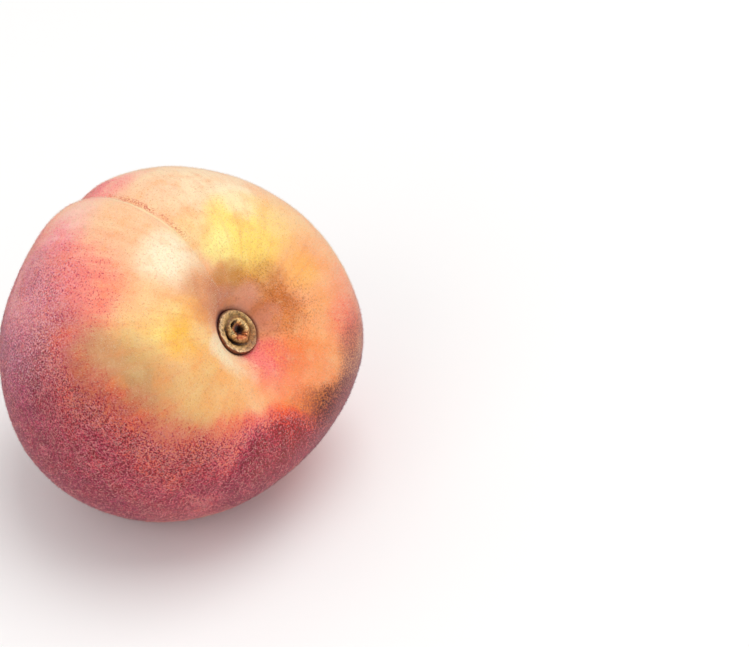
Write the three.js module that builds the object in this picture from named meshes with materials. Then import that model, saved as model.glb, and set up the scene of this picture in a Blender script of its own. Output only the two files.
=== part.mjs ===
// A ripe peach, picked and lying on its cheek.
// Millimetres, +Z up. The origin is the middle of the small flat spot it rests on, at table height.
//
// The fruit is one grown solid. Its skin is given as a distance from the fruit's centre in every
// direction: theta is the angle from the stem end, and phi the angle round the stem axis, from the suture.
// The woody button that the stalk leaves behind is a second solid, seated in the stem hollow.

import * as THREE from 'three';

// ---- Driving dimensions ----

// Body
const EQUATOR_RADIUS = 35.5; // middle of the fruit, across the stem axis
const STEM_END_REACH = 34.4; // centre to the stem end, before the hollow sinks it
const TIP_END_REACH = 34.6; // centre to the blossom end, before its dimple
const STEM_END_SQUARENESS = 2.2; // power of the outline, where 2 is an ellipse
const TIP_END_SQUARENESS = 2.05;
const STEM_END_WIDENING = 0.039; // share by which the stem half is wider than the tip half
const CHEEK_WIDENING = 0.027; // two lobes, widest across the cheeks
const CHEEK_TURN = 85.9;
const SUTURE_SIDE_WIDENING = 0.036; // three lobes, one of them under the suture
const SUTURE_SIDE_TURN = -0.9;
const CORNER_WIDENING = 0.014; // four weak lobes
const CORNER_TURN = -32;

// Hollow at the stem end: a broad bowl with a steeper seat for the button in it
const BOWL_DEPTH = 8.0;
const BOWL_HALF_ANGLE = 28.5;
const BOWL_POWER = 2.3;
const SEAT_DEPTH = 4.5;
const SEAT_HALF_ANGLE = 13.6;
const SEAT_POWER = 4.0;
const HOLLOW_STRETCH = 0.10; // the hollow is longer along the suture
const HOLLOW_LEAN = 0.18; // and opens wider on one side
const HOLLOW_LEAN_TURN = -80;

// Full shoulder beside the hollow, on the cheek above the table
const SHOULDER_RISE = 1.5;
const SHOULDER_ANGLE = 34;
const SHOULDER_WIDTH = 13;
const SHOULDER_TURN = 60;

// Suture: a soft groove with a fine crease, one lip standing above the other
const GROOVE_DEPTH = 0.9;
const GROOVE_DEPTH_AT_HOLLOW = 1.2;
const GROOVE_DEPTH_AT_TIP = 1.0;
const GROOVE_HALF_WIDTH = 4.2;
const CREASE_DEPTH = 0.45;
const CREASE_HALF_WIDTH = 1.1;
const LIP_RISE = 0.9;
const LIP_REACH = 13;
const SUTURE_DRIFT = 4.5; // how far the groove wanders from its meridian, in degrees

// Blossom end: a tiny point in a shallow dimple
const TIP_POINT_RISE = 1.9;
const TIP_POINT_ANGLE = 5;
const TIP_DIMPLE_DEPTH = 1.5;
const TIP_DIMPLE_ANGLE = 17;

// How it lies: the stem axis points to one side and up
const STEM_AZIMUTH = -45.7;
const STEM_ELEVATION = 35.8;
const SUTURE_ROLL = 4.6;
const FRUIT_CENTRE = [1.9, -0.5, 32.1]; // above the middle of the rest spot
const REST_EDGE_BLEND = 0.45; // height over which the flat spot rounds into the skin

// Stalk button
const BUTTON_HALF_LENGTH = 4.75; // along the suture
const BUTTON_HALF_WIDTH = 3.95;
const BUTTON_FLANGE_HEIGHT = 24.6; // from the fruit's centre, along the stem axis
const BUTTON_SLOPE = 0.10; // it follows the steeper side of its seat
const BUTTON_GAP = 0.4; // between its underside and the skin
const BUTTON_EDGE_ROUND = 0.25;

// Fineness
const FRUIT_RINGS = 50;
const FRUIT_MERIDIANS = 72;
const RING_CROWDING = 1.35; // rings stand closer towards the stem end
const MERIDIAN_CROWDING = 0.65; // meridians stand closer towards the suture
const BUTTON_SPOKES = 36;

// ---- Small curves ----

const rad = THREE.MathUtils.degToRad;

function ease(x, low, high) {
  return THREE.MathUtils.smoothstep(x, low, high);
}

function hump(x, middle, width) {
  return Math.exp(-(((x - middle) / width) ** 2));
}

function lobes(count, phi, turn) {
  return Math.cos(count * (phi - rad(turn)));
}

// ---- The fruit's skin, as a distance from its centre ----

function bodyRadius(theta, phi) {
  const across = Math.sin(theta);
  const along = Math.cos(theta);
  const stemShare = ease(along, -0.35, 0.35);
  const reach = THREE.MathUtils.lerp(TIP_END_REACH, STEM_END_REACH, stemShare);
  const power = THREE.MathUtils.lerp(TIP_END_SQUARENESS, STEM_END_SQUARENESS, stemShare);
  const round = (across / EQUATOR_RADIUS) ** power + (Math.abs(along) / reach) ** power;
  const widening = 1 + STEM_END_WIDENING * along * across ** 2;
  const lobing = 1
    + CHEEK_WIDENING * across ** 2 * lobes(2, phi, CHEEK_TURN)
    + SUTURE_SIDE_WIDENING * across ** 3 * lobes(3, phi, SUTURE_SIDE_TURN)
    + CORNER_WIDENING * across ** 4 * lobes(4, phi, CORNER_TURN);
  return round ** (-1 / power) * widening * lobing;
}

function hollowDepth(theta, phi) {
  const degrees = THREE.MathUtils.radToDeg(theta);
  const stretch = HOLLOW_STRETCH * Math.cos(2 * phi);
  const lean = HOLLOW_LEAN * lobes(1, phi, HOLLOW_LEAN_TURN);
  const bowlAngle = BOWL_HALF_ANGLE * (1 + stretch) * (1 + lean);
  const seatAngle = SEAT_HALF_ANGLE * (1 + stretch / 2) * (1 + lean / 8);
  const bowl = BOWL_DEPTH * Math.exp(-((degrees / bowlAngle) ** BOWL_POWER));
  const seat = SEAT_DEPTH * Math.exp(-((degrees / seatAngle) ** SEAT_POWER));
  return bowl + seat;
}

function shoulderRise(theta, phi) {
  const degrees = THREE.MathUtils.radToDeg(theta);
  const facing = (0.5 + 0.5 * lobes(1, phi, SHOULDER_TURN)) ** 2;
  return SHOULDER_RISE * hump(degrees, SHOULDER_ANGLE, SHOULDER_WIDTH) * facing;
}

function sutureRelief(theta, phi) {
  const degrees = THREE.MathUtils.radToDeg(theta);
  const drift = rad(SUTURE_DRIFT) * Math.sin(Math.PI * THREE.MathUtils.clamp((degrees - 20) / 100, 0, 1));
  const turn = phi - drift;
  const aside = EQUATOR_RADIUS * Math.sin(theta) * Math.sin(turn);
  const depth = GROOVE_DEPTH_AT_HOLLOW * hump(degrees, 30, 16)
    + GROOVE_DEPTH * ease(degrees, 14, 30) * (1 - ease(degrees, 165, 178))
    + GROOVE_DEPTH_AT_TIP * hump(degrees, 152, 20);
  const groove = depth * hump(aside, 0, GROOVE_HALF_WIDTH);
  const creaseEnds = ease(degrees, 10, 20) * (1 - ease(degrees, 166, 177));
  const crease = CREASE_DEPTH * creaseEnds * Math.exp(-((Math.abs(aside) / CREASE_HALF_WIDTH) ** 1.3));
  const lipEnds = ease(degrees, 10, 24) * (1 - ease(degrees, 150, 172)) * (0.35 + hump(degrees, 38, 30));
  const lip = LIP_RISE * lipEnds * Math.tanh(aside / 1.6) * hump(aside, 0, LIP_REACH);
  return ease(Math.cos(turn), 0, 0.5) * (lip - groove - crease);
}

function tipRelief(theta) {
  const fromTip = 180 - THREE.MathUtils.radToDeg(theta);
  return TIP_POINT_RISE * hump(fromTip, 0, TIP_POINT_ANGLE)
    - TIP_DIMPLE_DEPTH * hump(fromTip, 0, TIP_DIMPLE_ANGLE);
}

// Low, uneven swells of flesh, all over
function swells(direction) {
  const { x, y, z } = direction;
  return 0.22 * Math.sin(5.1 * x + 1.3 * y + 0.7)
    + 0.18 * Math.sin(4.3 * y - 3.1 * z + 2.1)
    + 0.16 * Math.sin(6.2 * z + 2.9 * x + 4.0)
    + 0.12 * Math.sin(7.7 * x - 5.3 * y + 1.1);
}

function directionOf(theta, phi) {
  return new THREE.Vector3(
    Math.sin(theta) * Math.cos(phi),
    Math.sin(theta) * Math.sin(phi),
    Math.cos(theta),
  );
}

function skinRadius(theta, phi) {
  return bodyRadius(theta, phi) - hollowDepth(theta, phi) + shoulderRise(theta, phi)
    + sutureRelief(theta, phi) + tipRelief(theta) + swells(directionOf(theta, phi));
}

// ---- From the fruit's own axes to the table ----

// Own axes: x to the suture, y to the left cheek, z to the stem end
function restingPlace() {
  const azimuth = rad(STEM_AZIMUTH);
  const elevation = rad(STEM_ELEVATION);
  const stem = new THREE.Vector3(
    Math.cos(elevation) * Math.cos(azimuth),
    Math.cos(elevation) * Math.sin(azimuth),
    Math.sin(elevation),
  );
  const upright = new THREE.Vector3(
    -Math.sin(elevation) * Math.cos(azimuth),
    -Math.sin(elevation) * Math.sin(azimuth),
    Math.cos(elevation),
  );
  const suture = upright.applyAxisAngle(stem, rad(SUTURE_ROLL));
  const cheek = new THREE.Vector3().crossVectors(stem, suture);
  return new THREE.Matrix4().makeBasis(suture, cheek, stem).setPosition(...FRUIT_CENTRE);
}

const PLACE = restingPlace();

// Skin that would reach below the table is pressed flat on it, with a soft edge
function pressFlat(height) {
  if (height < -REST_EDGE_BLEND) {
    return 0;
  }
  if (height < REST_EDGE_BLEND) {
    return (height + REST_EDGE_BLEND) ** 2 / (4 * REST_EDGE_BLEND);
  }
  return height;
}

function skinPoint(theta, phi) {
  const point = directionOf(theta, phi).multiplyScalar(skinRadius(theta, phi)).applyMatrix4(PLACE);
  point.z = pressFlat(point.z);
  return point;
}

// ---- Closed meshes from rings of points between two end points ----

function closedMesh(name, first, rings, last, material) {
  const count = rings[0].length;
  const points = [first, ...rings.flat(), last];
  const lastIndex = points.length - 1;
  const at = (ring, spoke) => 1 + ring * count + (spoke % count);
  const faces = [];
  for (let spoke = 0; spoke < count; spoke += 1) {
    faces.push(0, at(0, spoke), at(0, spoke + 1));
    for (let ring = 0; ring < rings.length - 1; ring += 1) {
      faces.push(at(ring, spoke), at(ring + 1, spoke), at(ring + 1, spoke + 1));
      faces.push(at(ring, spoke), at(ring + 1, spoke + 1), at(ring, spoke + 1));
    }
    faces.push(at(rings.length - 1, spoke), lastIndex, at(rings.length - 1, spoke + 1));
  }
  const geometry = new THREE.BufferGeometry().setFromPoints(points);
  geometry.setIndex(faces);
  geometry.computeVertexNormals();
  const mesh = new THREE.Mesh(geometry, material);
  mesh.name = name;
  return mesh;
}

// ---- The fruit ----

function makeFruit() {
  const rings = [];
  for (let ring = 1; ring < FRUIT_RINGS; ring += 1) {
    const theta = Math.PI * (ring / FRUIT_RINGS) ** RING_CROWDING;
    const points = [];
    for (let spoke = 0; spoke < FRUIT_MERIDIANS; spoke += 1) {
      const even = (2 * Math.PI * spoke) / FRUIT_MERIDIANS;
      const phi = even - MERIDIAN_CROWDING * Math.sin(even);
      points.push(skinPoint(theta, phi));
    }
    rings.push(points);
  }
  const skin = new THREE.MeshStandardMaterial({ color: '#d98a62', roughness: 0.75, metalness: 0 });
  return closedMesh('fruit', skinPoint(0, 0), rings, skinPoint(Math.PI, 0), skin);
}

// ---- The stalk button ----

// Height of the skin in the seat, at a distance out from the stem axis
function seatHeight(out, phi) {
  let height = BUTTON_FLANGE_HEIGHT;
  for (let pass = 0; pass < 12; pass += 1) {
    const theta = Math.atan2(out, height);
    height = skinRadius(theta, phi) * Math.cos(theta);
  }
  return height;
}

function buttonReach(phi) {
  return 1 / Math.hypot(Math.cos(phi) / BUTTON_HALF_LENGTH, Math.sin(phi) / BUTTON_HALF_WIDTH);
}

// Top of the button: a flange, a groove inside it, the torn collar of the stalk, and a pit
function buttonRelief(share) {
  return 0.45 * hump(share, 0.37, 0.11) - 0.7 * hump(share, 0.58, 0.07) - 1.3 * hump(share, 0, 0.17);
}

function buttonPoint(share, phi, height) {
  const out = share * buttonReach(phi);
  return new THREE.Vector3(out * Math.cos(phi), out * Math.sin(phi), height).applyMatrix4(PLACE);
}

function buttonTop(share, phi) {
  const aside = share * buttonReach(phi) * Math.sin(phi);
  return BUTTON_FLANGE_HEIGHT + BUTTON_SLOPE * aside + buttonRelief(share);
}

function buttonUnder(share, phi) {
  return seatHeight(share * buttonReach(phi), phi) + BUTTON_GAP;
}

function makeButton() {
  const topShares = [0.1, 0.19, 0.28, 0.37, 0.46, 0.52, 0.58, 0.64, 0.72, 0.84, 0.94];
  const underShares = [0.93, 0.75, 0.5, 0.25];
  const around = (share, heightAt) => {
    const points = [];
    for (let spoke = 0; spoke < BUTTON_SPOKES; spoke += 1) {
      const phi = (2 * Math.PI * spoke) / BUTTON_SPOKES;
      points.push(buttonPoint(share, phi, heightAt(share, phi)));
    }
    return points;
  };
  const rim = (share, phi) => buttonTop(share, phi) - BUTTON_EDGE_ROUND;
  const rings = [
    ...topShares.map((share) => around(share, buttonTop)),
    around(1, rim),
    ...underShares.map((share) => around(share, buttonUnder)),
  ];
  const first = buttonPoint(0, 0, buttonTop(0, 0));
  const last = buttonPoint(0, 0, buttonUnder(0, 0));
  const wood = new THREE.MeshStandardMaterial({ color: '#8a7343', roughness: 0.7, metalness: 0 });
  return closedMesh('stalk_button', first, rings, last, wood);
}

const peach = new THREE.Group();
peach.add(makeFruit(), makeButton());

export default peach;
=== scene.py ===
"""A ripe peach lying on its cheek: downy blushed skin over firm flesh, and the corky button of its stalk."""

import math

import bpy
import numpy as np
from mathutils import Matrix, Vector, noise


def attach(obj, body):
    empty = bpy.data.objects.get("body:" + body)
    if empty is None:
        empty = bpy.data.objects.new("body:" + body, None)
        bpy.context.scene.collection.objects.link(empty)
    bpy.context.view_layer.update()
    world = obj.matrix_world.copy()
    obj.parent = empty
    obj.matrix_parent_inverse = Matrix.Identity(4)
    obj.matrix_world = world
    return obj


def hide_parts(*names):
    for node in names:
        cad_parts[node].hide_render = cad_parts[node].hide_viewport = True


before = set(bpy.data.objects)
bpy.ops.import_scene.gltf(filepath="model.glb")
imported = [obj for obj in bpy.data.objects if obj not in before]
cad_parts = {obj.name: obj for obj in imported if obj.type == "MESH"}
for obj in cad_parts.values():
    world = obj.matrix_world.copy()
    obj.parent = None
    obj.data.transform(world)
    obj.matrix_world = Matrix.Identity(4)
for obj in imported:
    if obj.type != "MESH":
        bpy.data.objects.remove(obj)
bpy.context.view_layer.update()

MM = 0.001

# ---- The fruit's shape, in millimetres and degrees, as in its solid ----

# theta is the angle from the stem end. phi is the turn round the stem from the suture, positive on the left
# cheek. A name that ends in FADE has the angles between which something comes in or goes out, and one that
# ends in PEAK has the angle where it is strongest and the spread about it.

EQUATOR_RADIUS = 35.5
STEM_END_REACH = 34.4
TIP_END_REACH = 34.6
STEM_END_SQUARENESS = 2.2
TIP_END_SQUARENESS = 2.05
END_BLEND = 0.35
STEM_END_WIDENING = 0.039
CHEEK_WIDENING, CHEEK_TURN = 0.027, 85.9
SUTURE_SIDE_WIDENING, SUTURE_SIDE_TURN = 0.036, -0.9
CORNER_WIDENING, CORNER_TURN = 0.014, -32

BOWL_DEPTH, BOWL_HALF_ANGLE, BOWL_POWER = 8.0, 28.5, 2.3
SEAT_DEPTH, SEAT_HALF_ANGLE, SEAT_POWER = 4.5, 13.6, 4.0
HOLLOW_STRETCH = 0.10
HOLLOW_LEAN, HOLLOW_LEAN_TURN = 0.18, -80
SEAT_SHARE_OF_STRETCH, SEAT_SHARE_OF_LEAN = 1 / 2, 1 / 8

SHOULDER_RISE, SHOULDER_PEAK, SHOULDER_TURN = 1.5, (34, 13), 60

GROOVE_DEPTH, GROOVE_IN_FADE, GROOVE_OUT_FADE = 0.9, (14, 30), (165, 178)
GROOVE_DEPTH_AT_HOLLOW, GROOVE_HOLLOW_PEAK = 1.2, (30, 16)
GROOVE_DEPTH_AT_TIP, GROOVE_TIP_PEAK = 1.0, (152, 20)
GROOVE_HALF_WIDTH = 4.2
CREASE_DEPTH, CREASE_HALF_WIDTH, CREASE_SHARPNESS = 0.45, 1.1, 1.3
CREASE_IN_FADE, CREASE_OUT_FADE = (10, 20), (166, 177)
LIP_RISE, LIP_REACH, LIP_STEP = 0.9, 13, 1.6
LIP_IN_FADE, LIP_OUT_FADE = (10, 24), (150, 172)
LIP_LEAST, LIP_PEAK = 0.35, (38, 30)
SUTURE_DRIFT, SUTURE_DRIFT_START, SUTURE_DRIFT_SPAN = 4.5, 20, 100
SUTURE_SIDE_FADE = 0, 0.5

TIP_POINT_RISE, TIP_POINT_ANGLE = 1.9, 5
TIP_DIMPLE_DEPTH, TIP_DIMPLE_ANGLE = 1.5, 17

# Low, uneven swells of flesh, all over: the height of each, its waves along the three axes and its start
SWELLS = (
    (0.22, (5.1, 1.3, 0), 0.7),
    (0.18, (0, 4.3, -3.1), 2.1),
    (0.16, (2.9, 0, 6.2), 4.0),
    (0.12, (7.7, -5.3, 0), 1.1),
)
# Firm flesh under thin skin: shallow dents, and finer ones inside them. Depth, how far across, seed
DENTS = (
    (0.10, 7.0, 1),
    (0.04, 2.6, 2),
)
DENT_FADE = 14, 26

STEM_AZIMUTH, STEM_ELEVATION, SUTURE_ROLL = -45.7, 35.8, 4.6
FRUIT_CENTRE = np.array([1.9, -0.5, 32.1])
REST_EDGE_BLEND = 0.45

# ---- The stalk button's shape, in millimetres ----

# It is turned a little, and it is a little rounder than its solid
BUTTON_HALF_LENGTH, BUTTON_HALF_WIDTH, BUTTON_TURN = 4.68, 4.1, 20
BUTTON_FLANGE_HEIGHT = 24.6
BUTTON_SLOPE = 0.02
BUTTON_WOBBLE, BUTTON_WOBBLE_FADE = 0.012, (0.6, 1)
BUTTON_EDGE_DROP, BUTTON_EDGE_FADE = 0.35, (0.90, 1.0)
BUTTON_RIM_DROP, BUTTON_RIM_THICKNESS = 0.42, 0.1
# The underside sinks a hair into the skin, so that nothing shows between them
BUTTON_SUNK = 0.15
BUTTON_UNDER_SHARES = (0.97, 0.9, 0.8, 0.65, 0.5, 0.35, 0.2, 0.1)

# Relief on its top. A MIDDLE and a RING are in shares of the button's radius, a ring with its own radius and
# its half width. A SIDE is the turn where something is strongest and the spread about it, in degrees.
COLLAR_MIDDLE, COLLAR_RING, COLLAR_RISE = (0.05, -0.10), (0.40, 0.11), 0.50
COLLAR_TEARING, COLLAR_TILT, COLLAR_TILT_TURN = 0.40, 0.20, 10
SPLINTER_RING, SPLINTER_RISE = (0.37, 0.16), 0.22
CRACK_RING, CRACK_DEPTH, CRACK_WIDTH = (0.36, 0.10), 0.45, 0.07
FURROW_RING, FURROW_DEPTH, FURROW_DEEPENING, FURROW_SIDE = (0.62, 0.07), 0.12, 0.95, (112, 62)
PIT_MIDDLE, PIT_DEPTH, PIT_WIDTH, PIT_RAGGEDNESS = (0.0, -0.21), 1.5, 0.15, 0.7
TEAR_RING, TEAR_DEPTH, TEAR_SIDE = (0.37, 0.08), 1.4, (12, 28)
WRINKLE_RISE, LUMP_RISE, LUMP_RING, ROUGH_RISE = 0.05, 0.10, (0.8, 0.25), 0.04
RIM_RING, RIM_RISE, RIM_SIDE = (0.92, 0.05), 0.08, (110, 80)
KNOB_RING, KNOB_RISE, KNOB_SIDE = (0.93, 0.07), 0.30, (-152, 6)
# Noise that tears and roughens it: how far across, in shares of the radius, and seed
TORN_NOISE, RAGGED_NOISE, LUMPY_NOISE = (0.42, 5), (0.15, 3), (0.40, 4)
CRACK_NOISE, PIT_NOISE, WRINKLE_NOISE = (0.30, 9), (0.35, 10), (1.0, 7)
WRINKLES_ROUND = 6
# How far the collar wanders, as torn wood does, and its noise
COLLAR_WANDERINGS = (0.07, 0.5, 6), (0.04, 0.2, 8)

# ---- Fineness ----

FRUIT_RINGS = 270
FRUIT_MERIDIANS = 348
RING_CROWDING = 1.12
MERIDIAN_CROWDING = 0.35
BUTTON_SPOKES = 200
BUTTON_RINGS = 78
SEAT_STEPS = 12
DOWN_PIECES = 4
HAIRS_A_PIECE = 50000
LYING_HAIRS = 15500
HAIR_SEED = 7

# ---- Down, in millimetres and degrees ----

HAIR_LENGTH, HAIR_LENGTH_SPREAD = 0.36, 0.25
HAIR_ROOT_RADIUS, HAIR_RADIUS_RANGE = 0.016, (0.7, 1.3)
HAIR_ROOT_SUNK = 0.03
HAIR_LEAN = 15, 68
HAIR_SWIRL = 1.4
# Some longer hairs lie flat where the skin is red. They are thicker than real ones, or they wouldn't show
LYING_HAIR_LENGTH = 0.85
LYING_ROOT_RADIUS = 0.042
LYING_LEAN = 74, 84
LYING_BEND = 0.16
LYING_RED_FADE = 0.15, 0.5
BENT_SHARE = 0.8
BARE_BELOW = 1.6
BARE_WITHIN = 14.5


# ---- Small helpers ----

def ease(x, low, high):
    share = np.clip((x - low) / (high - low), 0, 1)
    return share * share * (3 - 2 * share)


def hump(x, middle, width):
    return np.exp(-(((x - middle) / width) ** 2))


def lobes(count, phi, turn):
    return np.cos(count * (phi - np.radians(turn)))


def towards(phi, turn, width):
    """1 in the direction turn, fading out either side of it, in degrees."""
    away = phi - np.radians(turn)
    return hump(np.degrees(np.arctan2(np.sin(away), np.cos(away))), 0, width)


def roughly(points, period, seed):
    """Smooth noise about -1 to 1 at each point, with features the size of the period."""
    shift = Vector((seed * 17.3, seed * 5.9, seed * 11.1))
    flat = points.reshape(-1, 3) / period
    values = [noise.noise(Vector(p) + shift) for p in flat.tolist()]
    return np.array(values).reshape(points.shape[:-1])


def linear(hex_colour):
    """An sRGB hex colour as a linear RGBA tuple."""
    channels = [int(hex_colour[start:start + 2], 16) / 255 for start in (1, 3, 5)]
    return (*[c / 12.92 if c <= 0.04045 else ((c + 0.055) / 1.055) ** 2.4 for c in channels], 1.0)


def add(tree, kind, inputs=(), **settings):
    """Adds one node with its settings. inputs maps a socket's name or number to a value or to its link."""
    node = tree.nodes.new(kind)
    for name, value in settings.items():
        setattr(node, name, value)
    for socket, value in dict(inputs).items():
        if isinstance(value, bpy.types.NodeSocket):
            tree.links.new(value, node.inputs[socket])
        else:
            node.inputs[socket].default_value = value
    return node


def fill_ramp(ramp, colours):
    """Sets a colour ramp's stops from positions and hex colours, which start at 0 and end at 1."""
    for position, colour in colours.items():
        ends = {0.0: 0, 1.0: -1}
        stop = ramp.elements[ends[position]] if position in ends else ramp.elements.new(position)
        stop.color = linear(colour)


def new_material(name, finish):
    """A node material whose surface shader has the values in finish, by socket."""
    material = bpy.data.materials.new(name)
    material.use_nodes = True
    surface = material.node_tree.nodes["Principled BSDF"]
    for socket, value in finish.items():
        surface.inputs[socket].default_value = value
    return material


# ---- The fruit's skin, as a distance from its centre ----

def body_radius(theta, phi):
    across, along = np.sin(theta), np.cos(theta)
    stem_share = ease(along, -END_BLEND, END_BLEND)
    reach = TIP_END_REACH + (STEM_END_REACH - TIP_END_REACH) * stem_share
    power = TIP_END_SQUARENESS + (STEM_END_SQUARENESS - TIP_END_SQUARENESS) * stem_share
    outline = (np.abs(across) / EQUATOR_RADIUS) ** power + (np.abs(along) / reach) ** power
    widening = 1 + STEM_END_WIDENING * along * across ** 2
    lobing = (
        1
        + CHEEK_WIDENING * across ** 2 * lobes(2, phi, CHEEK_TURN)
        + SUTURE_SIDE_WIDENING * across ** 3 * lobes(3, phi, SUTURE_SIDE_TURN)
        + CORNER_WIDENING * across ** 4 * lobes(4, phi, CORNER_TURN)
    )
    return outline ** (-1 / power) * widening * lobing


def hollow_depth(theta, phi):
    """The stem hollow: a wide leaning bowl, with a steeper seat for the button in it."""
    degrees = np.degrees(theta)
    stretch = HOLLOW_STRETCH * np.cos(2 * phi)
    lean = HOLLOW_LEAN * lobes(1, phi, HOLLOW_LEAN_TURN)
    bowl_angle = BOWL_HALF_ANGLE * (1 + stretch) * (1 + lean)
    seat_angle = SEAT_HALF_ANGLE * (1 + SEAT_SHARE_OF_STRETCH * stretch) * (1 + SEAT_SHARE_OF_LEAN * lean)
    bowl = BOWL_DEPTH * np.exp(-((degrees / bowl_angle) ** BOWL_POWER))
    seat = SEAT_DEPTH * np.exp(-((degrees / seat_angle) ** SEAT_POWER))
    return bowl + seat


def shoulder_rise(theta, phi):
    facing = (0.5 + 0.5 * lobes(1, phi, SHOULDER_TURN)) ** 2
    return SHOULDER_RISE * hump(np.degrees(theta), *SHOULDER_PEAK) * facing


def suture_turn(theta, phi):
    """The angle round the stem axis from the suture's own line, which wanders."""
    along = np.clip((np.degrees(theta) - SUTURE_DRIFT_START) / SUTURE_DRIFT_SPAN, 0, 1)
    return phi - np.radians(SUTURE_DRIFT) * np.sin(np.pi * along)


def suture_aside(theta, phi):
    """Distance from the suture's line, over the skin, positive on the left cheek."""
    return EQUATOR_RADIUS * np.sin(theta) * np.sin(suture_turn(theta, phi))


def suture_relief(theta, phi):
    """A shallow groove, a narrow crease along it, and a lip where one cheek stands above the other."""
    degrees = np.degrees(theta)
    aside = suture_aside(theta, phi)
    depth = (
        GROOVE_DEPTH_AT_HOLLOW * hump(degrees, *GROOVE_HOLLOW_PEAK)
        + GROOVE_DEPTH * ease(degrees, *GROOVE_IN_FADE) * (1 - ease(degrees, *GROOVE_OUT_FADE))
        + GROOVE_DEPTH_AT_TIP * hump(degrees, *GROOVE_TIP_PEAK)
    )
    groove = depth * hump(aside, 0, GROOVE_HALF_WIDTH)
    crease_share = ease(degrees, *CREASE_IN_FADE) * (1 - ease(degrees, *CREASE_OUT_FADE))
    crease = CREASE_DEPTH * crease_share * np.exp(-((np.abs(aside) / CREASE_HALF_WIDTH) ** CREASE_SHARPNESS))
    lip_share = ease(degrees, *LIP_IN_FADE) * (1 - ease(degrees, *LIP_OUT_FADE))
    lip_height = LIP_RISE * lip_share * (LIP_LEAST + hump(degrees, *LIP_PEAK))
    lip = lip_height * np.tanh(aside / LIP_STEP) * hump(aside, 0, LIP_REACH)
    return ease(np.cos(suture_turn(theta, phi)), *SUTURE_SIDE_FADE) * (lip - groove - crease)


def tip_relief(theta):
    """A small point in a shallow dimple."""
    from_tip = 180 - np.degrees(theta)
    return (
        TIP_POINT_RISE * hump(from_tip, 0, TIP_POINT_ANGLE)
        - TIP_DIMPLE_DEPTH * hump(from_tip, 0, TIP_DIMPLE_ANGLE)
    )


def direction_of(theta, phi):
    return np.stack([np.sin(theta) * np.cos(phi), np.sin(theta) * np.sin(phi), np.cos(theta)], -1)


def skin_radius(theta, phi):
    direction = direction_of(theta, phi)
    swells = sum(height * np.sin(direction @ np.array(waves) + start) for height, waves, start in SWELLS)
    return (
        body_radius(theta, phi) - hollow_depth(theta, phi) + shoulder_rise(theta, phi)
        + suture_relief(theta, phi) + tip_relief(theta) + swells
    )


# ---- From the fruit's own axes to the table ----

def own_axes():
    """Rows: to the suture, to the left cheek, to the stem end."""
    azimuth, elevation, roll = np.radians([STEM_AZIMUTH, STEM_ELEVATION, SUTURE_ROLL])
    stem = np.array([
        np.cos(elevation) * np.cos(azimuth), np.cos(elevation) * np.sin(azimuth), np.sin(elevation),
    ])
    upright = np.array([
        -np.sin(elevation) * np.cos(azimuth), -np.sin(elevation) * np.sin(azimuth), np.cos(elevation),
    ])
    suture = np.cos(roll) * upright + np.sin(roll) * np.cross(stem, upright)
    return np.array([suture, np.cross(stem, suture), stem])


AXES = own_axes()


def on_table(own):
    """Own millimetres to millimetres on the table."""
    return own @ AXES + FRUIT_CENTRE


def press_flat(points):
    """Skin that would reach below the table is flat on it, with a soft edge."""
    height = points[..., 2]
    edge = (height + REST_EDGE_BLEND) ** 2 / (4 * REST_EDGE_BLEND)
    pressed = np.where(height < -REST_EDGE_BLEND, 0, np.where(height < REST_EDGE_BLEND, edge, height))
    return np.concatenate([points[..., :2], pressed[..., None]], -1)


# ---- Meshes ----

def closed_grid(name, grid, first, last):
    """A closed mesh of rings of points, in millimetres, between two end points, smooth shaded."""
    rings, spokes = grid.shape[:2]
    points = np.concatenate([first[None], grid.reshape(-1, 3), last[None]]) * MM
    at = 1 + np.arange(rings * spokes).reshape(rings, spokes)
    beside = np.roll(at, -1, axis=1)
    quads = np.stack([at[:-1], at[1:], beside[1:], beside[:-1]], -1).reshape(-1, 4)
    last_index = len(points) - 1
    cap = [(0, int(a), int(b)) for a, b in zip(at[0], beside[0])]
    foot = [(int(a), last_index, int(b)) for a, b in zip(at[-1], beside[-1])]
    mesh = bpy.data.meshes.new(name)
    mesh.from_pydata(points.tolist(), [], quads.tolist() + cap + foot)
    mesh.shade_smooth()
    mesh.update()
    piece = bpy.data.objects.new(name, mesh)
    bpy.context.scene.collection.objects.link(piece)
    return piece


def note(piece, name, values):
    """Keeps a value for each point of a piece, for its material to read."""
    values = np.asarray(values, dtype=np.float32)
    kind, field = ("FLOAT_VECTOR", "vector") if values.ndim == 2 else ("FLOAT", "value")
    layer = piece.data.attributes.new(name, kind, "POINT")
    layer.data.foreach_set(field, values.ravel())


def with_ends(grid_values, first, last):
    """The values of a grid's points in the order of its mesh."""
    flat = grid_values.reshape(-1, *grid_values.shape[2:])
    return np.concatenate([np.asarray([first]), flat, np.asarray([last])])


def fruit_grid():
    """Angles of the skin's points, closest together in the hollow and along the suture."""
    steps = np.arange(1, FRUIT_RINGS) / FRUIT_RINGS
    even = 2 * np.pi * np.arange(FRUIT_MERIDIANS) / FRUIT_MERIDIANS
    return np.meshgrid(np.pi * steps ** RING_CROWDING, even - MERIDIAN_CROWDING * np.sin(even), indexing="ij")


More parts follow.
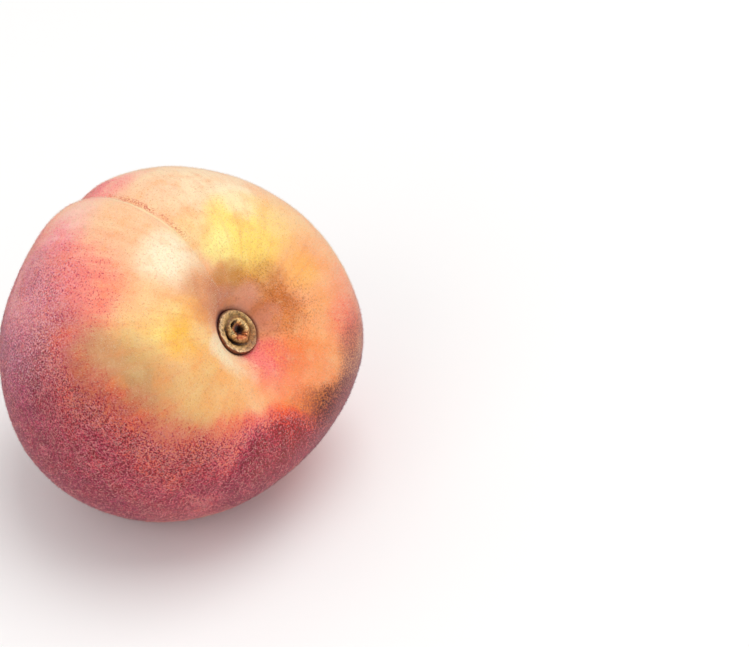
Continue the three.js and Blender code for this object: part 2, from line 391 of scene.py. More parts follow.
def make_fruit():
    theta, phi = fruit_grid()
    own = direction_of(theta, phi) * skin_radius(theta, phi)[..., None]
    dents = sum(depth * roughly(own, across, seed) for depth, across, seed in DENTS)
    own = own * (1 + (dents * ease(np.degrees(theta), *DENT_FADE) / EQUATOR_RADIUS))[..., None]
    stem_own = np.array([0, 0, float(skin_radius(np.array(0.0), np.array(0.0)))])
    tip_own = np.array([0, 0, -float(skin_radius(np.array(np.pi), np.array(0.0)))])
    grid = press_flat(on_table(own))
    fruit = closed_grid("peach_skin", grid, press_flat(on_table(stem_own)), press_flat(on_table(tip_own)))
    note(fruit, "own_mm", with_ends(own, stem_own, tip_own))
    note(fruit, "suture_mm", with_ends(suture_aside(theta, phi), 0.0, 0.0))
    # Distance outwards from the button's edge, on the stem's side of the fruit alone
    far, stem_side = 30, theta < 1
    beyond_button = np.where(stem_side, np.hypot(own[..., 0], own[..., 1]) - button_reach(phi), far)
    note(fruit, "button_mm", with_ends(beyond_button, -BUTTON_HALF_WIDTH, far))
    return fruit, grid, theta, phi


# ---- The stalk button ----

def seat_height(out, phi):
    """Height of the skin in its seat, along the stem axis, found by closing in on it."""
    height = np.full(np.broadcast(out, phi).shape, BUTTON_FLANGE_HEIGHT)
    for _ in range(SEAT_STEPS):
        theta = np.arctan2(out, height)
        height = skin_radius(theta, phi) * np.cos(theta)
    return height


def button_reach(phi):
    """The button's radius in each direction: it is oval."""
    from_long_axis = phi - np.radians(BUTTON_TURN)
    length_share = np.cos(from_long_axis) / BUTTON_HALF_LENGTH
    width_share = np.sin(from_long_axis) / BUTTON_HALF_WIDTH
    return 1 / np.hypot(length_share, width_share)


def round_stem(out, phi, height):
    """Points at a distance from the stem axis, at a turn round it and a height along it."""
    return np.stack([out * np.cos(phi), out * np.sin(phi), height + 0 * phi], -1)


def button_relief(share, phi):
    """Height over the flange, how torn the edge is, place between pit and edge, and depth of the dips."""
    around = round_stem(1, phi, 0)
    flat = round_stem(share, phi, 0)
    torn = roughly(around, *TORN_NOISE)
    ragged = roughly(flat, *RAGGED_NOISE)
    ring = np.hypot(flat[..., 0] - COLLAR_MIDDLE[0], flat[..., 1] - COLLAR_MIDDLE[1])
    for reach, across, seed in COLLAR_WANDERINGS:
        ring = ring + reach * roughly(flat, across, seed)
    collar_rise = COLLAR_RISE + COLLAR_TEARING * torn + COLLAR_TILT * lobes(1, phi, COLLAR_TILT_TURN)
    collar = collar_rise * hump(ring, *COLLAR_RING)
    splinters = SPLINTER_RISE * ragged * hump(ring, *SPLINTER_RING)
    cracks = CRACK_DEPTH * hump(roughly(around, *CRACK_NOISE), 0.0, CRACK_WIDTH) * hump(ring, *CRACK_RING)
    furrow = (FURROW_DEPTH + FURROW_DEEPENING * towards(phi, *FURROW_SIDE)) * hump(ring, *FURROW_RING)
    from_pit = np.hypot(flat[..., 0] - PIT_MIDDLE[0], flat[..., 1] - PIT_MIDDLE[1])
    pit = PIT_DEPTH * hump(from_pit * (1 + PIT_RAGGEDNESS * roughly(around, *PIT_NOISE)), 0, PIT_WIDTH)
    # A crescent torn out of the collar
    tear = TEAR_DEPTH * hump(ring, *TEAR_RING) * towards(phi, *TEAR_SIDE)
    wrinkles = WRINKLE_RISE * roughly(around * WRINKLES_ROUND + flat, *WRINKLE_NOISE) + ROUGH_RISE * ragged
    lumps = LUMP_RISE * roughly(flat, *LUMPY_NOISE) * hump(share, *LUMP_RING)
    rim = RIM_RISE * (1 + towards(phi, *RIM_SIDE)) * hump(share, *RIM_RING)
    knob = KNOB_RISE * hump(share, *KNOB_RING) * towards(phi, *KNOB_SIDE)
    dips = furrow + pit + tear + cracks
    return collar + splinters + wrinkles + lumps + rim + knob - dips, torn, ring, dips


def make_button():
    """The scar from its middle out: black pit, torn raised collar, dark furrow, flat corky flange."""
    spokes = 2 * np.pi * np.arange(BUTTON_SPOKES) / BUTTON_SPOKES
    share, phi = np.meshgrid(np.linspace(0, 1, BUTTON_RINGS + 2)[1:-1], spokes, indexing="ij")
    relief, torn, ring, dips = button_relief(share, phi)
    out = share * button_reach(phi) * (1 + BUTTON_WOBBLE * torn * ease(share, *BUTTON_WOBBLE_FADE))
    flange = BUTTON_FLANGE_HEIGHT + BUTTON_SLOPE * out * np.sin(phi)
    edge_drop = BUTTON_EDGE_DROP * ease(share, *BUTTON_EDGE_FADE) ** 2
    top = round_stem(out, phi, flange + relief - edge_drop)
    rim_out = button_reach(spokes) * (1 + BUTTON_WOBBLE * torn[-1])
    rim_height = BUTTON_FLANGE_HEIGHT + BUTTON_SLOPE * rim_out * np.sin(spokes) - BUTTON_RIM_DROP
    rim = round_stem(rim_out, spokes, rim_height)
    under_share, under_phi = np.meshgrid(BUTTON_UNDER_SHARES, spokes, indexing="ij")
    under_out = under_share * rim_out
    in_seat = seat_height(under_out, under_phi) - BUTTON_SUNK
    under = round_stem(under_out, under_phi, np.minimum(in_seat, rim_height - BUTTON_RIM_THICKNESS))
    own = np.concatenate([top, rim[None], under])
    first = np.array([0, 0, BUTTON_FLANGE_HEIGHT - PIT_DEPTH])
    last = np.array([0, 0, float(seat_height(np.array(0.0), np.array(0.0))) - BUTTON_SUNK])
    button = closed_grid("stalk_button_wood", on_table(own), on_table(first), on_table(last))
    beyond = np.ones((1 + len(under), BUTTON_SPOKES))
    # The underside counts as a dip, so it takes the painted shade too
    under_dip = 0.6
    note(button, "own_mm", with_ends(own, first, last))
    note(button, "ring_share", with_ends(np.concatenate([ring, beyond]), 0.0, 1.0))
    note(button, "flange_share", with_ends(np.concatenate([share, beyond]), 0.0, 1.0))
    dips = np.concatenate([dips, 0 * beyond[:1], under_dip * beyond[1:]])
    note(button, "dip_mm", with_ends(dips, PIT_DEPTH, under_dip))
    return button


# ---- Down ----

def laid_on(theta, phi, patches):
    """The sum of some patches in those directions, without their uneven edges."""
    directions = direction_of(theta, phi)
    total = np.zeros(theta.shape)
    for from_stem, turn, middle, edge, amount in patches:
        facing = directions @ direction_of(*np.radians([from_stem, turn]))
        total += amount * ease(facing, math.cos(math.radians(edge)), math.cos(math.radians(middle)))
    return total


def hair_mesh(name, joints, point):
    """Three-sided spikes in millimetres, each through the three corners of every joint to its point."""
    corners = [corner for joint in joints for corner in joint]
    points = np.stack([*corners, point], 1).reshape(-1, 3) * MM
    start = (len(corners) + 1) * np.arange(len(point))[:, None]
    tip = len(corners)
    faces = [start + [tip - 3 + side, tip - 3 + (side + 1) % 3, tip] for side in range(3)]
    for low in range(0, tip - 3, 3):
        for side in range(3):
            a, b = low + side, low + (side + 1) % 3
            faces += [start + [a, b, b + 3], start + [a, b + 3, a + 3]]
    faces = np.concatenate(faces)
    mesh = bpy.data.meshes.new(name)
    mesh.vertices.add(len(points))
    mesh.vertices.foreach_set("co", points.astype(np.float32).ravel())
    mesh.loops.add(faces.size)
    mesh.loops.foreach_set("vertex_index", faces.astype(np.int32).ravel())
    mesh.polygons.add(len(faces))
    mesh.polygons.foreach_set("loop_start", np.arange(0, faces.size, 3, dtype=np.int32))
    mesh.update(calc_edges=True)
    mesh.validate()
    piece = bpy.data.objects.new(name, mesh)
    bpy.context.scene.collection.objects.link(piece)
    return piece


def make_down(grid, theta, phi):
    """Fine straight hairs all over the skin, as slim spikes, and longer bent ones lying where it is red."""
    rng = np.random.default_rng(HAIR_SEED)
    along_ring = np.roll(grid, -1, axis=1) - np.roll(grid, 1, axis=1)
    down_meridian = np.gradient(grid, axis=0)
    normals = np.cross(down_meridian, along_ring)
    normals /= np.linalg.norm(normals, axis=-1, keepdims=True)
    # Each cell of the grid has hairs by its area, apart from those in the hollow and on the resting side
    beside = np.roll(grid, -1, axis=1)
    cell = np.linalg.norm(np.cross(grid[1:] - grid[:-1], beside[:-1] - grid[:-1]), axis=-1)
    bare = (grid[:-1, :, 2] < BARE_BELOW) | (np.degrees(theta[:-1]) < BARE_WITHIN)
    room = np.where(bare, 0, cell).ravel()
    red = laid_on(theta[:-1], phi[:-1], RED_PATCHES).ravel()
    shaded = laid_on(theta[:-1], phi[:-1], [(*place, share) for *place, _, share in SHADE_PATCHES]).ravel()

    def grow(name, pick, hair_length, root_radius, leans, bend=0.0):
        count = len(pick)
        ring, spoke = np.unravel_index(pick, cell.shape)
        next_spoke = (spoke + 1) % grid.shape[1]
        u, v = rng.random((2, count, 1))
        root = (
            grid[ring, spoke] * (1 - u) * (1 - v) + grid[ring + 1, spoke] * u * (1 - v)
            + grid[ring, next_spoke] * (1 - u) * v + grid[ring + 1, next_spoke] * u * v
        )
        # Down is combed towards the tip, loosely
        normal = normals[ring, spoke]
        comb = down_meridian[ring, spoke]
        comb = comb - normal * np.sum(comb * normal, axis=1, keepdims=True)
        comb /= np.linalg.norm(comb, axis=1, keepdims=True)
        turn = rng.normal(0, HAIR_SWIRL, (count, 1))
        lie = comb * np.cos(turn) + np.cross(normal, comb) * np.sin(turn)
        lean = np.radians(rng.uniform(*leans, (count, 1)))
        out = normal * np.cos(lean) + lie * np.sin(lean)
        side = np.cross(out, normal)
        side /= np.linalg.norm(side, axis=1, keepdims=True)
        third = np.cross(out, side)
        radius = root_radius * rng.uniform(*HAIR_RADIUS_RANGE, (count, 1))
        turns = 2 * np.pi * np.arange(3) / 3
        round_foot = [radius * (side * math.cos(a) + third * math.sin(a)) for a in turns]
        length = hair_length * np.exp(rng.normal(0, HAIR_LENGTH_SPREAD, (count, 1)))
        foot = root - HAIR_ROOT_SUNK * normal
        joints = [[foot + corner for corner in round_foot]]
        if bend:
            middle = root + 0.5 * length * out + length * bend * rng.normal(0, 1, (count, 1)) * side
            joints.append([middle + BENT_SHARE * corner for corner in round_foot])
        return hair_mesh(name, joints, root + length * out)

    pick = rng.choice(len(room), DOWN_PIECES * HAIRS_A_PIECE, p=room / room.sum())
    pick = pick[np.argsort((red + shaded)[pick], kind="stable")]
    pieces = [
        grow(f"down_{number + 1}", some, HAIR_LENGTH, HAIR_ROOT_RADIUS, HAIR_LEAN)
        for number, some in enumerate(np.split(pick, DOWN_PIECES))
    ]
    where_red = room * ease(red, *LYING_RED_FADE) * (1 - ease(shaded, *LYING_RED_FADE))
    lying = rng.choice(len(room), LYING_HAIRS, p=where_red / where_red.sum())
    pieces.append(grow("down_lying", lying, LYING_HAIR_LENGTH, LYING_ROOT_RADIUS, LYING_LEAN, LYING_BEND))
    return pieces


# ---- Where the skin has its colours ----

# Each patch: angle from the stem end, turn round it from the suture, angle across the full middle,
# angle across the fading edge, all in degrees, then what it adds.

GROUND_COLOUR = "#fbc08e"
GROUND_PATCHES = (
    (106, 122, 44, 84, "#d49684", 1.0),  # tan under the sunny cheek
    (90, 52, 6, 42, "#e8c0b4", 0.9),
    (60, 10, 8, 40, "#fbc89c", 0.9),  # cream on both sides of the suture
    (60, -28, 4, 26, "#fde2ba", 0.9),
    (80, -3, 2, 16, "#ffb8a8", 0.8),  # pink by the suture
    (78, 20, 2, 16, "#fcc4b8", 0.8),
    (60, -6, 1, 10, "#fccaa4", 0.6),
    (47, -36, 1, 11, "#fdecc4", 0.9),
    (40, -3, 1, 9, "#fde0a4", 0.9),
    (36, 20, 1, 13, "#fff3d2", 0.8),  # the palest skin, on the swell beside the groove, partly a painted highlight of the softbox
    (36, -39, 5, 19, "#fedc7c", 1.0),  # yellow lobe
    (35, -24, 1, 13, "#fee678", 0.7),
    (28, -44, 1, 11, "#fed766", 0.7),
    (33, -14, 0, 7, "#fdf49c", 0.7),
    (46, -35, 1, 8, "#fdeabc", 0.7),
    (34, -66, 2, 11, "#fab460", 0.25),
    (46, -58, 4, 14, "#fcd08e", 0.6),
    (34, -100, 6, 26, "#fdae76", 0.9),  # peach orange
    (48, -106, 3, 16, "#fb9876", 0.8),
    (30, -160, 6, 24, "#ff8c40", 1.0),  # orange
    (20, -168, 0, 14, "#fb9078", 0.7),  # coral below the button
    (13, -166, 0, 11, "#f47480", 0.6),
    (36, 60, 4, 16, "#fdd684", 0.7),
    (31, 58, 1, 9, "#fee484", 0.85),
    (25, 66, 1, 10, "#fdb838", 0.8),  # golden
    (24, 106, 4, 16, "#fbc070", 0.9),
    (34, 110, 4, 20, "#e8b878", 0.85),  # tan, where the blush begins
    (40, 120, 2, 14, "#dab070", 0.4),
    (26, 130, 2, 12, "#fcb06c", 0.6),
    (37, 45, 1, 10, "#fcbc88", 0.6),
    (50, 80, 4, 22, "#c09058", 0.9),  # olive tan at the rose cheek's edge
    (50, 112, 4, 18, "#cc9c64", 0.7),
    (68, 70, 6, 24, "#b88c58", 0.6),
    (19, 22, 0, 14, "#dd9262", 0.65),  # painted shade: the hollow's wall that faces away from the light, darkened to brown-orange over its own colour
    (18, -14, 0, 12, "#b87420", 0.8),
    (18, -60, 0, 13, "#cc7a30", 0.6),
    (18, -94, 0, 10, "#c8601c", 0.7),
    (19, -108, 1, 8, "#d87c3c", 0.6),
    (17, 14, 0, 9, "#d08c74", 0.5),
    (14, -8, 1, 8, "#cc9080", 0.8),  # mauve bloom at the wall's foot
    (13, -44, 1, 7, "#dc9478", 0.8),
    (12, -90, 1, 6, "#c87850", 0.7),
    (13, -116, 0, 6, "#cc7c60", 0.5),
    (24, 46, 0, 7, "#ffbc64", 0.7),  # painted light on the lit edge of the hollow
    (20, 64, 0, 6, "#fdd898", 0.7),
    (14, 82, 1, 6, "#fff0c8", 0.8),  # pale strip beside the button: paler skin with a painted highlight where the rim catches the light
    (13, 106, 1, 7, "#fff0c8", 0.85),
    (13, 134, 0, 7, "#fde0b4", 0.7),
    (15, 156, 0, 6, "#fccca8", 0.6),
    (32, -78, 0, 9, "#fdb850", 0.6),  # between the yellow lobe and the peach orange
    (33, -147, 1, 10, "#fcaa80", 0.5),
    (22, -146, 2, 10, "#ee7440", 0.55),  # deep orange in the hollow
    (79, 22, 1, 9, "#ffd8cc", 0.5),  # cream far down beside the suture
    (51, 71, 1, 9, "#dc9c70", 0.45),
)

# Riper, paler and speckled places in the ground colour: a pattern, its values where the colour starts and
# where it is full, the colour and its share
GROUND_FLECKS = (
    ("cloud", 0.50, 0.66, "#f9a050", 0.36),
    ("cloud", 0.48, 0.34, "#fff0b4", 0.14),
    ("streaks", 0.50, 0.70, "#e88850", 0.24),
    ("grain", 0.58, 0.74, "#b8703a", 0.34),
    ("glints", 0.42, 0.30, "#c07840", 0.30),
)

# Brown mottling and grain on the hollow's wall, partly painted shade where the wall faces away from the
# light, bloom at its foot and crimson grain in the flush: the angle from the stem end, the turn and the edge
# in degrees, then a pattern, colour and share as above
HOLLOW_FLECKS = (
    (19, -28, 7, "mottle", 0.38, 0.62, "#c07c30", 0.5),
    (18, -68, 13, "mottle", 0.38, 0.60, "#b86018", 0.65),
    (18, -52, 13, "grain", 0.46, 0.66, "#8c4c1c", 0.4),
    (19, -100, 15, "grain", 0.48, 0.64, "#a04c1c", 0.5),
    (18, 20, 13, "mottle", 0.30, 0.62, "#c06c48", 0.5),
    (14, -42, 8, "mottle", 0.30, 0.50, "#eca890", 0.55),
    (13, -96, 7, "mottle", 0.30, 0.50, "#e49c84", 0.5),
    (15, -166, 12, "grain", 0.46, 0.62, "#e03c58", 0.5),
)

RED_PATCHES = (
    (108, 122, 53, 77, 0.62),  # the sunny cheek
    (98, 112, 8, 46, 0.32),
    (43, 140, 2, 18, 0.27),  # its upper edge
    (35, 146, 0, 9, 0.20),
    (94, 52, 8, 44, 0.32),
    (88, 37, 1, 12, 0.14),
    (64, 45, 4, 26, 0.14),  # rose, where the cheek turns away
    (54, 43, 2, 12, 0.06),
    (80, -1, 1, 12, 0.12),  # by the suture, far down it
    (92, -1, 3, 14, 0.24),
    (118, -32, 10, 38, 0.28),
    (126, 2, 14, 42, 0.34),
    (46, 165, 4, 20, 0.78),  # crimson flush, opposite the suture
    (58, 172, 10, 28, 0.40),
    (72, -164, 6, 34, 0.46),
    (42, -117, 1, 12, 0.12),
    (112, -112, 22, 64, 0.50),  # right cheek and tip
    (160, -20, 30, 74, 0.40),
    (128, 48, 12, 34, 0.26),
    (96, -64, 12, 40, 0.24),
)

# Brown, mauve and nearly black shades over all the rest: the bruise opposite the suture, and a grey-mauve
# painted sheen of the down where the cheek turns away
SHADE_PATCHES = (
    (64, -126, 4, 28, "#a06c62", 0.75),
    (47, -123, 1, 10, "#b06c5c", 0.35),
    (63, -152, 8, 24, "#7a4648", 0.9),
    (92, 46, 6, 30, "#b08a98", 0.22),  # painted sheen: grey-mauve haze of the down where the cheek turns away
    (40, -162, 0, 9, "#7c4430", 0.5),
    (48, -138, 1, 9, "#985c54", 0.7),
    (44, -158, 0, 10, "#4c241c", 0.85),
    (50, -150, 1, 12, "#6c3c3a", 0.75),
    (53, -165, 1, 11, "#54242e", 0.6),
    (43, -127, 0, 8, "#a05c4c", 0.5),
    (36, -169, 0, 9, "#b8604c", 0.45),
    (48, -176, 2, 12, "#843c34", 0.4),
    (43, 166, 4, 16, "#8c4428", 0.3),
)
# The edges of patches narrower than this wander less, and the sum of the red goes no further than its limit
SMALL_PATCH = 12.5
DEEPEST_RED = 0.88


# ---- Materials ----

def patch(tree, direction, theta, phi, middle, edge):
    """A soft round patch of the skin, 1 in its middle and 0 outside, about a place given in degrees."""
    place = direction_of(*np.radians([theta, phi]))
    facing = add(tree, "ShaderNodeVectorMath", {0: direction, 1: tuple(place)}, operation="DOT_PRODUCT")
    spread = add(tree, "ShaderNodeMapRange", {
        "Value": facing.outputs["Value"],
        "From Min": math.cos(math.radians(edge)),
        "From Max": math.cos(math.radians(middle)),
    }, interpolation_type="SMOOTHSTEP")
    return spread.outputs["Result"]


def wandering(tree, own, size, reach):
    """The direction from the fruit's centre, bent by noise of a size in mm, so patches spread unevenly."""
    bend = add(tree, "ShaderNodeTexNoise", {"Vector": own, "Scale": 1 / size, "Detail": 3, "Roughness": 0.5})
    centred = add(tree, "ShaderNodeVectorMath", {
        0: bend.outputs["Color"], 1: (0.5,) * 3}, operation="SUBTRACT").outputs["Vector"]
    straight = add(tree, "ShaderNodeVectorMath", {0: own}, operation="NORMALIZE").outputs["Vector"]
    bent = add(tree, "ShaderNodeVectorMath", {
        0: centred, 1: (reach,) * 3, 2: straight}, operation="MULTIPLY_ADD").outputs["Vector"]
    return add(tree, "ShaderNodeVectorMath", {0: bent}, operation="NORMALIZE").outputs["Vector"]


def near_line(tree, distance, middle, half_width):
    """1 on a line at that distance, fading to 0 at half_width from it."""
    off = add(tree, "ShaderNodeMath", {0: distance, 1: middle}, operation="SUBTRACT").outputs["Value"]
    off = add(tree, "ShaderNodeMath", {0: off}, operation="ABSOLUTE").outputs["Value"]
    near = add(tree, "ShaderNodeMapRange", {
        "Value": off, "From Min": half_width, "From Max": 0.0}, interpolation_type="SMOOTHSTEP")
    return near.outputs["Result"]


def skin_patterns(tree, own):
    """The skin's patterns by name, each about 0.5 on average."""
    # Streaks and threads run from the stem to the tip, about 2.5 and 0.7 mm wide where the fruit is widest.
    # They hardly change along that way.
    level = add(tree, "ShaderNodeVectorMath", {0: own, 1: (1, 1, 0)}, operation="MULTIPLY").outputs["Vector"]
    turn = add(tree, "ShaderNodeVectorMath", {0: level}, operation="NORMALIZE").outputs["Vector"]
    drawn_out = add(tree, "ShaderNodeVectorMath", {
        0: own, 1: (0.003, 0.003, 0.006), 2: turn}, operation="MULTIPLY_ADD").outputs["Vector"]
    elsewhere = add(tree, "ShaderNodeVectorMath", {
        0: own, 1: (50, 20, 80)}, operation="ADD").outputs["Vector"]
    patterns = {}
    for name, where, scale, detail, roughness in (
        ("streaks", drawn_out, 14, 4, 0.6),
        ("threads", drawn_out, 50, 3, 0.6),
        ("cloud", own, 1 / 4.5, 4, 0.55),
        ("mottle", own, 1 / 3.2, 5, 0.65),
        # The skin's own dots and the gaps between its shortest hairs are under 0.1 mm across. They are drawn
        # three times as coarse, or they wouldn't show
        ("grain", own, 1 / 0.35, 1, 0.5),
        ("glints", elsewhere, 1 / 0.30, 1, 0.5),
    ):
        patterns[name] = add(tree, "ShaderNodeTexNoise", {
            "Vector": where, "Scale": scale, "Detail": detail, "Roughness": roughness}).outputs["Fac"]
    return patterns


def skin_material():
    """Peach skin: thin, matt and downy, with yellow flesh glowing through and red pigment in the flush."""
    material = new_material("peach_skin", {
        "Roughness": 0.55,
        "IOR": 1.42,
        "Specular IOR Level": 0.3,
        "Subsurface Weight": 0.15,
        "Subsurface Radius": (1.0, 0.45, 0.25),
        "Subsurface Scale": 1.0 * MM,
        "Sheen Weight": 0.3,
        "Sheen Roughness": 0.35,
        "Sheen Tint": linear("#b8a4b4"),
    })
    tree = material.node_tree
    own = add(tree, "ShaderNodeAttribute", attribute_name="own_mm").outputs["Vector"]
    aside = add(tree, "ShaderNodeAttribute", attribute_name="suture_mm").outputs["Fac"]
    beyond = add(tree, "ShaderNodeAttribute", attribute_name="button_mm").outputs["Fac"]
    broad = wandering(tree, own, 9, 0.15)
    fine = wandering(tree, own, 2.5, 0.07)
    patterns = skin_patterns(tree, own)

    # Colours that lie one over another on the ground colour, each with its share
    layers = []
    for theta, phi, middle, edge, colour, share in GROUND_PATCHES:
        mask = patch(tree, fine if edge < SMALL_PATCH else broad, theta, phi, middle, edge)
        part = add(tree, "ShaderNodeMath", {0: mask, 1: share}, operation="MULTIPLY").outputs["Value"]
        layers.append((part, colour))
    for name, low, high, colour, share in GROUND_FLECKS:
        part = add(tree, "ShaderNodeMapRange", {
            "Value": patterns[name], "From Min": low, "From Max": high, "To Max": share}).outputs["Result"]
        layers.append((part, colour))
    for theta, phi, edge, name, low, high, colour, share in HOLLOW_FLECKS:
        flecks = add(tree, "ShaderNodeMapRange", {
            "Value": patterns[name], "From Min": low, "From Max": high, "To Max": share}).outputs["Result"]
        mask = patch(tree, fine, theta, phi, 0, edge)
        part = add(tree, "ShaderNodeMath", {0: mask, 1: flecks}, operation="MULTIPLY").outputs["Value"]
        layers.append((part, colour))

    # Beside the crease the skin is pale towards the left cheek, and has a broken red-brown line on the other
    # side. Further down a redder line lies in the crease
    dotted = add(tree, "ShaderNodeMapRange", {
        "Value": patterns["grain"], "From Min": 0.44, "From Max": 0.55, "To Max": 0.85}).outputs["Result"]
    patchy = add(tree, "ShaderNodeMapRange", {
        "Value": patterns["mottle"], "From Min": 0.42, "From Max": 0.56,
        "To Min": 0.25, "To Max": 1.0}).outputs["Result"]
    broken = add(tree, "ShaderNodeMath", {0: dotted, 1: patchy}, operation="MULTIPLY").outputs["Value"]
    from_hollow = patch(tree, fine, 57, 2, 12, 22)
    further_down = patch(tree, fine, 70, 1, 4, 14)
    for middle, half_width, factors, colour in (
        (0.4, 0.9, (from_hollow,), "#ffe6b0"),
        (-0.9, 1.2, (from_hollow, broken), "#c85440"),
        (0.1, 0.8, (further_down, broken), "#d84c50"),
    ):
        part = near_line(tree, aside, middle, half_width)
        for factor in factors:
            part = add(tree, "ShaderNodeMath", {0: part, 1: factor}, operation="MULTIPLY").outputs["Value"]
        layers.append((part, colour))

    ground = linear(GROUND_COLOUR)
    for part, over in layers:
        ground = add(tree, "ShaderNodeMix", {
            0: part, 6: ground, 7: linear(over)}, data_type="RGBA").outputs[2]

    # Red pigment: how much there is in each place, uneven in streaks and mottles
    red = 0.0
    for theta, phi, middle, edge, amount in RED_PATCHES:
        mask = patch(tree, fine if edge < SMALL_PATCH else broad, theta, phi, middle, edge)
        red = add(tree, "ShaderNodeMath", {
            0: mask, 1: amount, 2: red}, operation="MULTIPLY_ADD").outputs["Value"]
    red = add(tree, "ShaderNodeMath", {0: red, 1: DEEPEST_RED}, operation="MINIMUM").outputs["Value"]
    for name, swing in (("streaks", 0.10), ("mottle", 0.16)):
        factor = add(tree, "ShaderNodeMapRange", {
            "Value": patterns[name], "From Min": 0.36, "From Max": 0.64,
            "To Min": 1 - swing, "To Max": 1 + swing}).outputs["Result"]
        red = add(tree, "ShaderNodeMath", {0: red, 1: factor}, operation="MULTIPLY").outputs["Value"]
    # Streaks and threads reach out of the red's edge
    for name, reach in (("streaks", 0.015), ("threads", 0.03)):
        share = add(tree, "ShaderNodeMapRange", {
            "Value": red, "From Min": 0.0, "From Max": 0.16}).outputs["Result"]
        fringe = add(tree, "ShaderNodeMapRange", {
            "Value": patterns[name], "From Min": 0.36, "From Max": 0.64,
            "To Min": -reach, "To Max": reach}).outputs["Result"]
        red = add(tree, "ShaderNodeMath", {
            0: fringe, 1: share, 2: red}, operation="MULTIPLY_ADD").outputs["Value"]
    # Dark specks: a few in the rose, crowded together with pale ones in the deep red
    smooth_red = red
    for low, high, faintest, strongest, least_red, most_red in (
        (0.60, 0.70, 0.0, 0.30, 0.03, 0.20),
        (0.39, 0.61, -0.32, 0.32, 0.24, 0.52),
    ):
        share = add(tree, "ShaderNodeMapRange", {
            "Value": smooth_red, "From Min": least_red, "From Max": most_red}).outputs["Result"]
        dots = add(tree, "ShaderNodeMapRange", {
            "Value": patterns["grain"], "From Min": low, "From Max": high,
            "To Min": faintest, "To Max": strongest}).outputs["Result"]
        red = add(tree, "ShaderNodeMath", {
            0: dots, 1: share, 2: red}, operation="MULTIPLY_ADD").outputs["Value"]
    # The pigment lets through little green light: on yellow flesh it looks brick, on cream rose
    pigment = add(tree, "ShaderNodeValToRGB", {"Fac": red})
    fill_ramp(pigment.color_ramp, {
        0.0: "#ffffff", 0.2: "#ffbed4", 0.4: "#f088b8", 0.6: "#cc509c", 0.8: "#b03880", 1.0: "#8a2850"})
    colour = add(tree, "ShaderNodeMix", {
        0: 1.0, 6: ground, 7: pigment.outputs["Color"]}, data_type="RGBA", blend_type="MULTIPLY").outputs[2]

    # What lies over ground and red alike
    layers = []
    for theta, phi, middle, edge, shade, share in SHADE_PATCHES:
        mask = patch(tree, fine if edge < SMALL_PATCH else broad, theta, phi, middle, edge)
        grainy = add(tree, "ShaderNodeMapRange", {
            "Value": patterns["grain"], "From Min": 0.41, "From Max": 0.59,
            "To Min": share * 0.35, "To Max": share * 1.2}).outputs["Result"]
        part = add(tree, "ShaderNodeMath", {0: mask, 1: grainy}, operation="MULTIPLY").outputs["Value"]
        layers.append((part, shade))
    # Painted glints of the lowest down: pale grains over the red, paler and closer where the cheek turns away
    on_red = add(tree, "ShaderNodeMapRange", {
        "Value": smooth_red, "From Min": 0.2, "From Max": 0.5}).outputs["Result"]
    painted_sheen_side = patch(tree, broad, 88, 48, 6, 36)
    for mask, low, high, share, glint_colour in (
        (on_red, 0.56, 0.65, 0.50, "#f09ca0"),
        (painted_sheen_side, 0.52, 0.62, 0.58, "#f4c4cc"),
    ):
        part = add(tree, "ShaderNodeMapRange", {
            "Value": patterns["glints"], "From Min": low, "From Max": high,
            "To Max": share}).outputs["Result"]
        part = add(tree, "ShaderNodeMath", {0: part, 1: mask}, operation="MULTIPLY").outputs["Value"]
        layers.append((part, glint_colour))
    # Dried skin and painted shade in the crevice round the button, widest towards the left cheek
    width = 0.36
    for theta, phi, middle, edge, extra in ((15, 32, 1, 10, 1.6), (14, -105, 2, 12, 0.45)):
        mask = patch(tree, fine, theta, phi, middle, edge)
        width = add(tree, "ShaderNodeMath", {
            0: mask, 1: extra, 2: width}, operation="MULTIPLY_ADD").outputs["Value"]
    dried_and_crevice_shade = add(tree, "ShaderNodeMapRange", {
        "Value": beyond, "From Min": width, "From Max": 0.0, "To Max": 0.92}, interpolation_type="SMOOTHSTEP")
    layers.append((dried_and_crevice_shade.outputs["Result"], "#501214"))
    for part, over in layers:
        colour = add(tree, "ShaderNodeMix", {
            0: part, 6: colour, 7: linear(over)}, data_type="RGBA").outputs[2]

    # Pores and fine wrinkles, drawn as coarse as the grain
    pores = add(tree, "ShaderNodeTexNoise", {
        "Vector": own, "Scale": 1 / 0.35, "Detail": 3, "Roughness": 0.6}).outputs["Fac"]
    bump = add(tree, "ShaderNodeBump", {"Height": pores, "Strength": 0.35, "Distance": 0.08 * MM})
    surface = tree.nodes["Principled BSDF"]
    tree.links.new(colour, surface.inputs["Base Color"])
    tree.links.new(bump.outputs["Normal"], surface.inputs["Normal"])
    return material


# The hairs themselves are clear, and tinted by the skin they stand on: the standing ones from where it is
# palest to where it is darkest, and then those that lie flat
DOWN_COLOURS = "#f8dfc0", "#f0bfa4", "#cc7c78", "#944458", "#f4a4a0"


def down_material(colour):
    """Peach down: clear, pale plant hairs that catch the light over the darker skin."""
    return new_material("peach_down", {"Base Color": linear(colour), "Roughness": 0.5, "IOR": 1.53})


